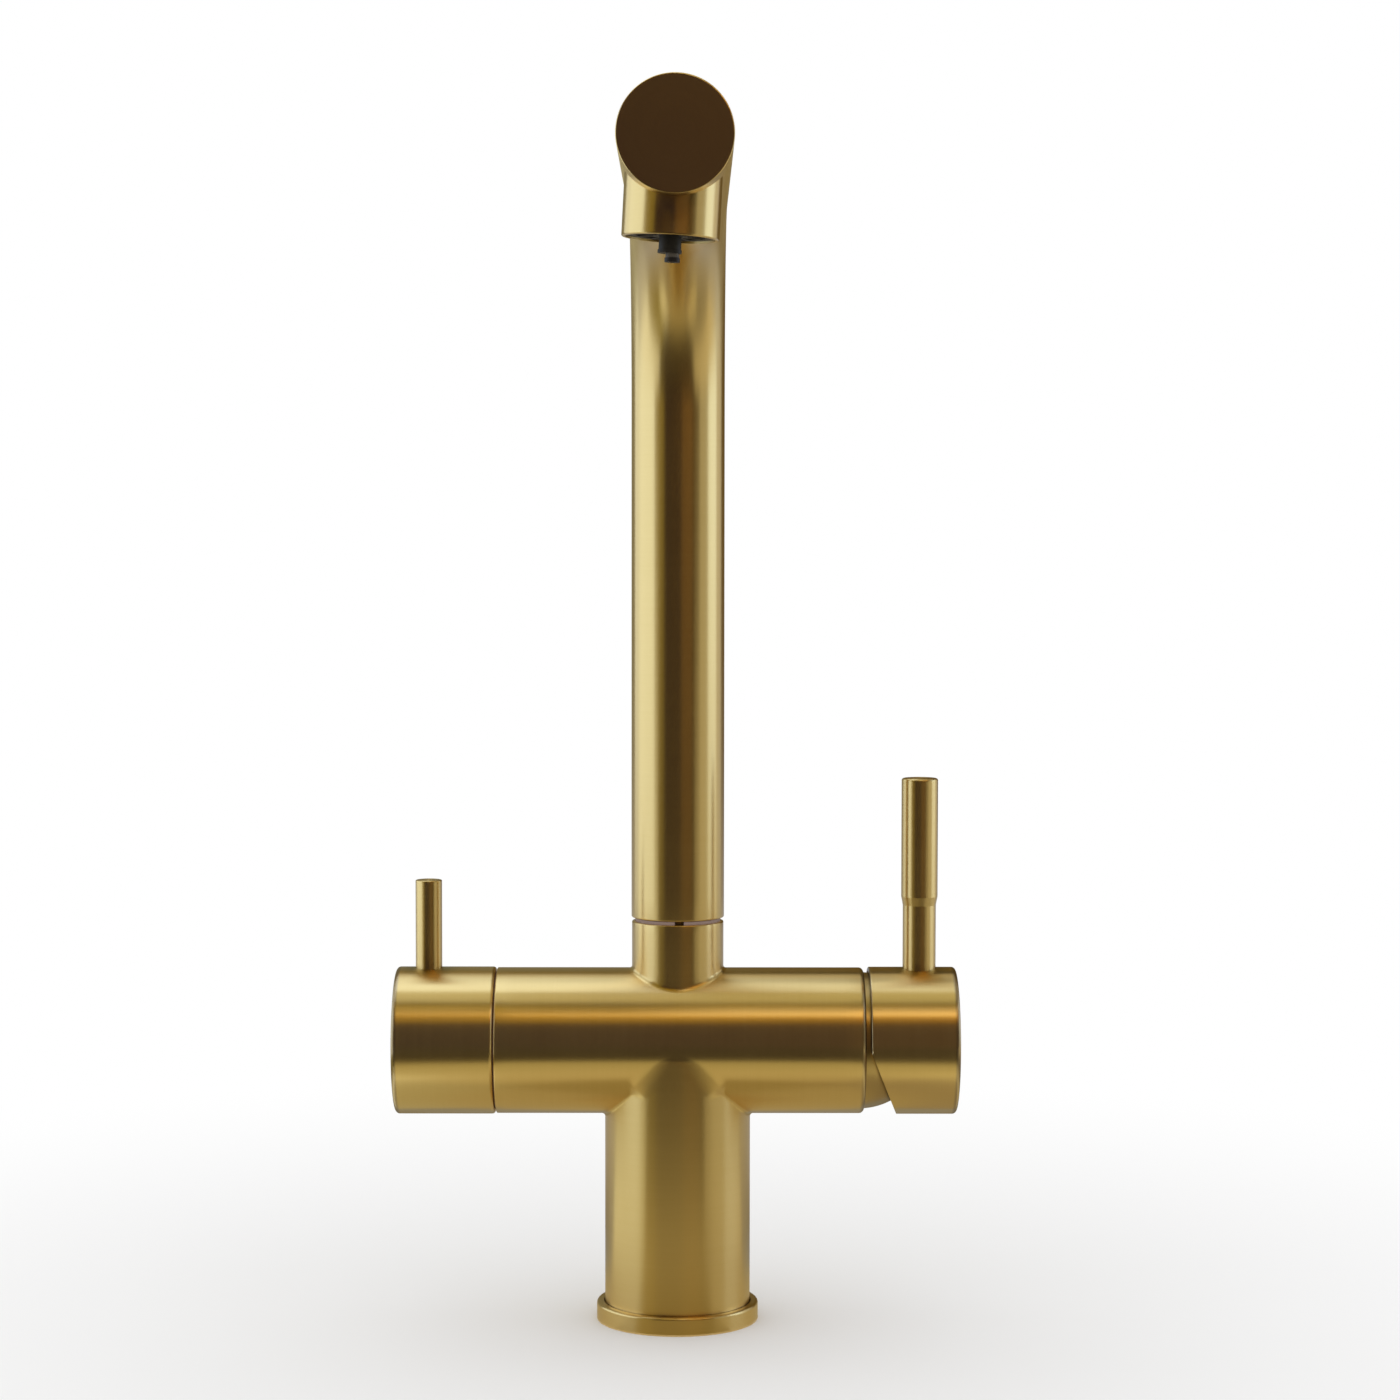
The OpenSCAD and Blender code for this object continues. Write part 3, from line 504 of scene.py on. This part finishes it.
def paint_end_shade(n, mix, ends):
    """Painted shade: darker towards rounded ends, given as places in x, with 1 where the painted
    shade starts and 0 where it is full."""
    first, last = ends[0][0], ends[-1][0]
    return n.tinted(mix, n.split(n.coordinates())[0], first * MM, last * MM,
                    [((x - first) / (last - first), WHITE if unshaded else END_SHADE) for x, unshaded in ends])


def paint_rim_shade(n, mix, s, u, v, x):
    """Painted shade: the gold painted darker on the rim of the cap that ends at x, on either side.
    """
    far = n.math("MULTIPLY", n.distance(u, v), 1000 / GRAIN_AROUND)
    reach = n.math("ADD", n.math("ABSOLUTE", n.math("SUBTRACT", s, far)), far)
    return n.tinted(mix, reach, *(x + BODY_R - before for before in RIM_SHADE_REACH),
                    ((0.0, WHITE), (1.0, RIM_SHADE)))


def brushed(name, tints, axis=None, centre=(0, 0, 0), rough=ROUGH, spread=SPREAD, grain=1.0,
            fixed=False, foot=None, ends=(), rim=None):
    """Satin metal with fine lines that run around the turning axis. Without an axis, the skin's own
    brush coordinates give the lines, and on the fixed body its own directions across them too.
    Around a lever's foot, on rounded ends and on a cap's far rim the colour is painted darker, as
    painted shade."""
    n = Nodes(name)
    s, u, v = turned_coordinates(n, axis, centre) if axis else n.split(n.attribute("brush"))
    fine = n.noise(n.join(n.math("MULTIPLY", s, FINE), u, v))
    wide = n.noise(n.join(n.math("MULTIPLY", s, WIDE), u, v))
    cloud = n.noise(n.join(n.math("MULTIPLY", s, CLOUD), n.math("MULTIPLY", u, CLOUD_AROUND),
                           n.math("MULTIPLY", v, CLOUD_AROUND)))
    shade = n.math("ADD", n.math("MULTIPLY", fine, 0.5), n.math("MULTIPLY", wide, 0.5))
    tint, low, high = tints
    mix = n.ramp(shade, ((NOISE[0], low), (0.5, tint), (NOISE[1], high)))
    # Painted shade: the colour darkened around the lever's foot, on rounded ends and on the cap's
    # far rim
    if foot:
        mix = paint_foot_shade(n, mix, foot)
    if ends:
        mix = paint_end_shade(n, mix, ends)
    if rim:
        mix = paint_rim_shade(n, mix, s, u, v, rim)
    if fixed:
        across = n.attribute("across")
    elif axis:
        across = n.add("ShaderNodeTangent", direction_type="RADIAL", axis=axis).outputs[0]
        n.set(Anisotropic_Rotation=0.25)
    else:
        across = n.add("ShaderNodeTangent", direction_type="UV_MAP", uv_map="grain").outputs[0]
    grained = ROUGH_GRAIN * grain
    n.set(Base_Color=mix, Metallic=1.0, Anisotropic=spread, Tangent=across,
          Roughness=n.math("ADD", n.span(shade, *NOISE, rough - grained, rough + grained),
                           n.span(cloud, *NOISE, -ROUGH_CLOUD, ROUGH_CLOUD)))
    n.bump(fine, GRAIN_BUMP * grain, GRAIN_DEPTH)
    return n.material


def plain(name, tint, other, rough, scale, bump, shine=0.5):
    """Moulded or cast surface with a slight mottle."""
    n = Nodes(name)
    coordinates = n.coordinates()
    mottle = n.noise(coordinates, scale, 3.0)
    fine = n.noise(coordinates, scale * 9)
    n.set(Base_Color=n.ramp(mottle, ((0.35, tint), (0.65, other))), Specular_IOR_Level=shine,
          Roughness=n.span(fine, *NOISE, rough - 0.05, rough + 0.05))
    n.bump(fine, bump, 0.00005)
    return n.material


def tip_plastic(name):
    """Brown collar above a dark rim."""
    n = Nodes(name)
    coordinates = n.coordinates()
    height = n.span(n.split(coordinates)[2], TIP_RIM_Z * MM, (TIP_RIM_Z + TIP_RIM_H) * MM)
    n.set(Base_Color=n.ramp(height, ((0.0, TIP_RIM), (1.0, TIP_COLLAR))), Specular_IOR_Level=0.25,
          Roughness=n.span(n.noise(coordinates, 3000.0), *NOISE, 0.42, 0.5))
    return n.material


CROSS = (0, 0, CROSS_Z)         # on the axis of the cross body, the caps and all that turns in them
# Places in x of the painted shade on the rounded ends at the right seam, 1 where it starts and 0
# where it is full
body_end_shade = (0, 1), (RIGHT_END - 1.6, 1), (RIGHT_END, 0)
cap_ends = (RIGHT_CAP, 0), (RIGHT_CAP + 0.5, 1), (RIGHT_CAP_END, 1)
gold_body = brushed("brushed gold, body", GOLD, fixed=True, ends=body_end_shade)
gold_tube = brushed("brushed gold, spout", GOLD)
gold_x = brushed("brushed gold, turned about X", GOLD, "X", CROSS)
# The caps carry painted shade around their lever's foot and on their far rim
gold_left_cap = brushed("brushed gold, left cap", GOLD, "X", CROSS, foot=-LEFT_LEVER,
                        rim=LEFT_CAP_END)
gold_right_cap = brushed("brushed gold, right cap", GOLD, "X", CROSS, foot=RIGHT_LEVER,
                         ends=cap_ends, rim=RIGHT_CAP_END)
gold_z = brushed("brushed gold, turned about Z", GOLD, "Z")
# The dome's darker colour is painted shade; its roughness and spread are its own
gold_dome = brushed("gold painted darker for shade, dome", SHADED_GOLD, "X", CROSS, rough=0.34, spread=0.5)
gold_left = brushed("brushed gold, left lever", GOLD, "Z", (-LEFT_LEVER, 0, 0), grain=0.1)
gold_right = brushed("brushed gold, right lever", GOLD, "Z", (RIGHT_LEVER, 0, 0), grain=0.1)
gold_outlet = brushed("brushed gold, outlet", GOLD, "Z", (0, -OUTLET_Y, 0))
gold_disc = brushed("brushed gold, spout end", GOLD, "Y", (0, 0, SPOUT_H), spread=0.0, grain=0.1)
brass_x = brushed("turned brass, about X", BRASS, "X", CROSS, rough=0.28)
brass_z = brushed("turned brass, about Z", BRASS, "Z", rough=0.28)
copper = brushed("drawn copper", COPPER, "Z")
steel_x = brushed("turned steel, about X", STEEL, "X", CROSS)
steel_z = brushed("turned steel, about Z", STEEL, "Z")
nylon = plain("nylon", (0.36, 0.26, 0.22), (0.33, 0.235, 0.20), 0.5, 300, 0.1, shine=0.2)
rubber = plain("black rubber", (0.018, 0.018, 0.018), (0.03, 0.03, 0.03), 0.6, 500, 0.3)
ceramic = plain("lapped ceramic", (0.80, 0.79, 0.75), (0.85, 0.84, 0.80), 0.2, 200, 0.02)
brown = plain("brown moulded plastic", (0.16, 0.075, 0.045), (0.19, 0.09, 0.055), 0.5, 400, 0.1,
              shine=0.3)
tip = tip_plastic("nozzle tip")
dark = plain("dark moulded plastic", (0.016, 0.012, 0.006), (0.024, 0.018, 0.009), 0.5, 400, 0.1,
             shine=0.25)
hose = plain("white hose", (0.72, 0.74, 0.75), (0.78, 0.80, 0.81), 0.4, 250, 0.05)

FINISH = (
    (gold_x, ("tap_body",)),
    (gold_z, ("base_ring", "spout_tube")),
    (gold_dome, ("dome_cover",)),
    (gold_left_cap, ("filter_cap",)),
    (gold_right_cap, ("mixer_cap",)),
    (gold_left, ("filter_lever",)),
    (gold_right, ("mixer_lever_rod", "mixer_lever_sleeve")),
    (gold_disc, ("spout_end_disc",)),
    (gold_outlet, ("outlet_housing",)),
    (brass_x, ("cartridge_nut", "headwork", "filter_spindle")),
    (brass_z, ("inlet_block", "spout_hub")),
    (copper, ("hot_riser", "cold_riser", "filter_riser")),
    (steel_x, ("stem_pin", "mixer_stem")),
    (steel_z, ("spout_grub_screw", "feed_pipe", "mixer_grub_screw", "filter_grub_screw",
               "aerator_screen")),
    (nylon, ("swivel_bush", "slip_ring")),
    (rubber, ("base_gasket", "cartridge_seals", "headwork_seal", "spindle_o_rings", "hub_o_rings",
              "aerator_washer")),
    (ceramic, ("fixed_mixing_disc", "moving_mixing_disc", "filter_fixed_disc",
               "filter_moving_disc")),
    (brown, ("filter_guide_ring",)),
    (tip, ("nozzle_tip",)),
    (dark, ("cartridge_housing", "mixer_carrier", "disc_driver", "aerator_body",
            "filter_nozzle")),
    (hose, ("inner_hose",)),
)
for material, names in FINISH:
    for name in names:
        mesh = nodes[name].data
        mesh.materials.clear()
        mesh.materials.append(material)

body = tap_body()
body.data.materials.append(gold_body)
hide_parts("tap_body")
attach(body, "tap")

tube = spout_tube()
tube.data.materials.append(gold_tube)
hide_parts("spout_tube")
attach(tube, "spout")


# ---------------------------------------------------------------- studio

ROOM_R, ROOM_Z, TABLE_Z = 1.5, 0.2, 0.0005
PANEL_STEP = 6                                    # degrees in one face of a panel, about
FLOOR_HALF, FLOOR_FADE = 9, (0.10, 0.45)          # the floor turns white between these distances


def panel(name, points, faces, colour):
    """A lit panel that shows in the metal and not in the picture."""
    mesh = bpy.data.meshes.new(name)
    mesh.from_pydata(points, [], faces)
    obj = add_object(name, mesh)
    n = Nodes(name)
    emission = n.add("ShaderNodeEmission")
    level = max(max(colour), 1e-6)
    emission.inputs["Color"].default_value = (*(c / level for c in colour), 1)
    emission.inputs["Strength"].default_value = level
    n.link(emission.outputs[0], n.surface)
    mesh.materials.append(n.material)
    obj.visible_camera = obj.visible_diffuse = obj.visible_shadow = False
    obj.visible_transmission = obj.visible_volume_scatter = False


def divided(start, end):
    """Angles in radians from start to end in degrees, about a panel's step apart."""
    count = max(2, int(abs(end - start) / PANEL_STEP))
    return [math.radians(start + (end - start) * i / count) for i in range(count + 1)]


def quads(columns, rows):
    """Faces between points that lie in rows, each with one point more than it has columns."""
    corners = (j * (columns + 1) + i for j in range(rows) for i in range(columns))
    return [(k, k + 1, k + columns + 2, k + columns + 1) for k in corners]


def dome_panel(name, az0, az1, el0, el1, colour):
    """Part of a round room between two azimuths, counted from the camera's side to the right, and
    two elevations."""
    across, up = divided(az0, az1), divided(el0, el1)
    points = [(ROOM_R * math.cos(e) * math.sin(a), -ROOM_R * math.cos(e) * math.cos(a),
               ROOM_Z + ROOM_R * math.sin(e)) for e in up for a in across]
    panel(name, points, quads(len(across) - 1, len(up) - 1), colour)


def table_panel(name, az0, az1, r0, r1, colour):
    """Part of a round table between two azimuths, counted as above, and two distances from the
    tap."""
    across = divided(az0, az1)
    points = [(r * math.sin(a), -r * math.cos(a), TABLE_Z) for r in (r0, r1) for a in across]
    panel(name, points, quads(len(across) - 1, 1), colour)


# Azimuths, elevations and light of each part of the room
DOME = (
    ("back left", -180, -134, -12, 31, (0.22, 0.21, 0.14)),
    ("edge left", -134, -110, -12, 31, (0.95, 1.09, 1.27)),
    ("softbox left", -110, -60, -12, 31, (1.07, 1.26, 1.55)),
    ("wall left", -60, -35, -12, 31, (0.27, 0.22, 0.05)),
    ("dark room", -35, 8, -12, 31, (0.03, 0.02, 0.03)),
    ("warm wall", 8, 36, -12, 31, (0.13, 0.08, 0.04)),
    ("gap right", 36, 54, -12, 31, (0.0, 0.0, 0.0)),
    ("softbox right, inner", 54, 80, -12, 31, (0.42, 0.42, 0.36)),
    ("softbox right", 80, 110, -12, 31, (1.10, 1.34, 1.75)),
    ("edge right", 110, 134, -12, 31, (0.60, 0.61, 0.60)),
    ("back right", 134, 180, -12, 31, (0.12, 0.08, 0.02)),
    ("far left, low", -180, -60, 31, 40, (0.25, 0.19, 0.06)),
    ("far left, below the lamp", -180, -60, 40, 44, (0.46, 0.46, 0.43)),
    ("far left, lamp", -180, -60, 44, 52, (0.84, 0.88, 0.87)),
    ("far left, high", -180, -60, 52, 66, (1.20, 1.39, 1.67)),
    ("left, low", -60, -18, 31, 44, (0.03, 0.0, 0.0)),
    ("left, lamp", -60, -18, 44, 58, (0.52, 0.39, 0.0)),
    ("left, high", -60, -18, 58, 66, (0.0, 0.0, 0.0)),
    ("middle left, low", -18, 0, 31, 40, (0.47, 0.32, 0.01)),
    ("middle left, lamp", -18, 0, 40, 48, (0.85, 0.53, 0.01)),
    ("middle left, high", -18, 0, 48, 66, (0.0, 0.0, 0.0)),
    ("middle right, low", 0, 18, 31, 40, (0.05, 0.02, 0.0)),
    ("middle right, below the lamp", 0, 18, 40, 44, (0.69, 0.46, 0.07)),
    ("middle right, lamp", 0, 18, 44, 48, (2.26, 2.01, 1.62)),
    ("middle right, above the lamp", 0, 18, 48, 58, (1.25, 1.11, 0.82)),
    ("middle right, high", 0, 18, 58, 66, (0.64, 0.49, 0.10)),
    ("right, low", 18, 60, 31, 40, (0.72, 0.30, 0.0)),
    ("right, lamp", 18, 60, 40, 48, (1.90, 1.32, 0.55)),
    ("right, above the lamp", 18, 60, 48, 52, (0.41, 0.24, 0.0)),
    ("right, high", 18, 60, 52, 66, (0.0, 0.0, 0.0)),
    ("far right, low", 60, 180, 31, 40, (0.0, 0.0, 0.0)),
    ("far right, lamp", 60, 180, 40, 52, (0.48, 0.42, 0.29)),
    ("far right, high", 60, 180, 52, 66, (0.31, 0.30, 0.24)),
    ("ceiling back left", -180, -90, 66, 90, (1.36, 1.59, 1.98)),
    ("ceiling left", -90, 0, 66, 90, (0.64, 0.62, 0.42)),
    ("ceiling right", 0, 90, 66, 90, (0.64, 0.60, 0.33)),
    ("ceiling back right", 90, 180, 66, 90, (0.88, 0.94, 0.96)),
)
# Azimuths and distances of each part of the table as the metal sees it, and its light
TABLE = (
    ("table, near", 42, 310, 0.02, 0.075, (0.43, 0.37, 0.22)),
    ("table, near, front", -50, 42, 0.02, 0.075, (0.32, 0.26, 0.12)),
    ("table, left", -115, -50, 0.075, 0.12, (0.45, 0.42, 0.28)),
    ("table, front", -50, 42, 0.075, 0.12, (0.55, 0.48, 0.29)),
    ("table, right", 42, 115, 0.075, 0.12, (0.33, 0.28, 0.19)),
    ("table, back", 115, 245, 0.075, 0.12, (0.29, 0.30, 0.30)),
    ("table, left, middle", -115, -50, 0.12, 0.2, (1.03, 1.07, 0.93)),
    ("table, front, middle", -50, 42, 0.12, 0.2, (0.49, 0.44, 0.25)),
    ("table, right, middle", 42, 115, 0.12, 0.2, (0.74, 0.69, 0.46)),
    ("table, back, middle", 115, 245, 0.12, 0.2, (0.25, 0.22, 0.15)),
    ("table, left, far", -115, -50, 0.2, 0.45, (0.28, 0.24, 0.05)),
    ("table, right, far", 42, 115, 0.2, 0.45, (0.28, 0.26, 0.19)),
    ("table, back, far", 115, 245, 0.2, 0.45, (0.40, 0.38, 0.34)),
    ("table, left edge", -115, -50, 0.45, 1.62, (1.00, 1.11, 1.23)),
    ("table, front edge", -50, 42, 0.2, 1.62, (0.04, 0.03, 0.02)),
    ("table, right edge", 42, 115, 0.45, 1.62, (0.69, 0.64, 0.46)),
    ("table, back edge", 115, 245, 0.45, 1.62, (0.43, 0.45, 0.51)),
)
for name, *where, colour in DOME:
    dome_panel("dome " + name, *where, colour)
for name, *where, colour in TABLE:
    table_panel(name, *where, colour)


def pale_floor():
    """Floor that keeps the tap's shadow, and farther out is as white as the world."""
    n = Nodes("pale floor")
    x, y, _ = n.split(n.coordinates())
    fade = n.span(n.distance(x, y), *FLOOR_FADE, interpolation_type="SMOOTHSTEP")
    n.set(Base_Color=(0.9, 0.9, 0.9, 1), Roughness=0.6, Specular_IOR_Level=0.0)
    white = n.add("ShaderNodeEmission")
    ray = n.add("ShaderNodeLightPath").outputs
    seen = n.math("ADD", ray["Is Camera Ray"],
                  n.math("ADD", ray["Is Glossy Ray"], ray["Is Transmission Ray"]))
    mix = n.add("ShaderNodeMixShader")
    n.link(n.math("MULTIPLY", fade, seen), mix.inputs["Fac"])
    n.link(n.shader.outputs[0], mix.inputs[1])
    n.link(white.outputs[0], mix.inputs[2])
    n.link(mix.outputs[0], n.surface)
    mesh = bpy.data.meshes.new("floor")
    h = FLOOR_HALF
    mesh.from_pydata([(-h, -h, 0), (h, -h, 0), (h, h, 0), (-h, h, 0)], [], [(0, 1, 2, 3)])
    mesh.materials.append(n.material)
    return add_object("floor", mesh)


floor = pale_floor()

# World: white, both where it is seen and as plain soft light
world = bpy.data.worlds.new("studio")
bpy.context.scene.world = world
world.use_nodes = True
background = world.node_tree.nodes["Background"]
background.inputs["Color"].default_value = (*WHITE, 1)
background.inputs["Strength"].default_value = 1.0

# ---------------------------------------------------------------- camera

CAMERA = 0.003464, -0.950, 0.236975
YAW, PITCH, ROLL = math.radians(0.193), math.radians(2.929), math.radians(0.068)

camera = add_object("camera", bpy.data.cameras.new("camera"))
bpy.context.scene.camera = camera
camera.data.lens = 80.99
camera.data.sensor_width = 36
camera.data.clip_end = 50
look = Vector((math.sin(YAW) * math.cos(PITCH), math.cos(YAW) * math.cos(PITCH),
               -math.sin(PITCH)))
turn = look.to_track_quat("-Z", "Y").to_matrix().to_4x4() @ Matrix.Rotation(ROLL, 4, "Z")
camera.matrix_world = Matrix.Translation(CAMERA) @ turn

bpy.context.scene.view_settings.view_transform = "Standard"
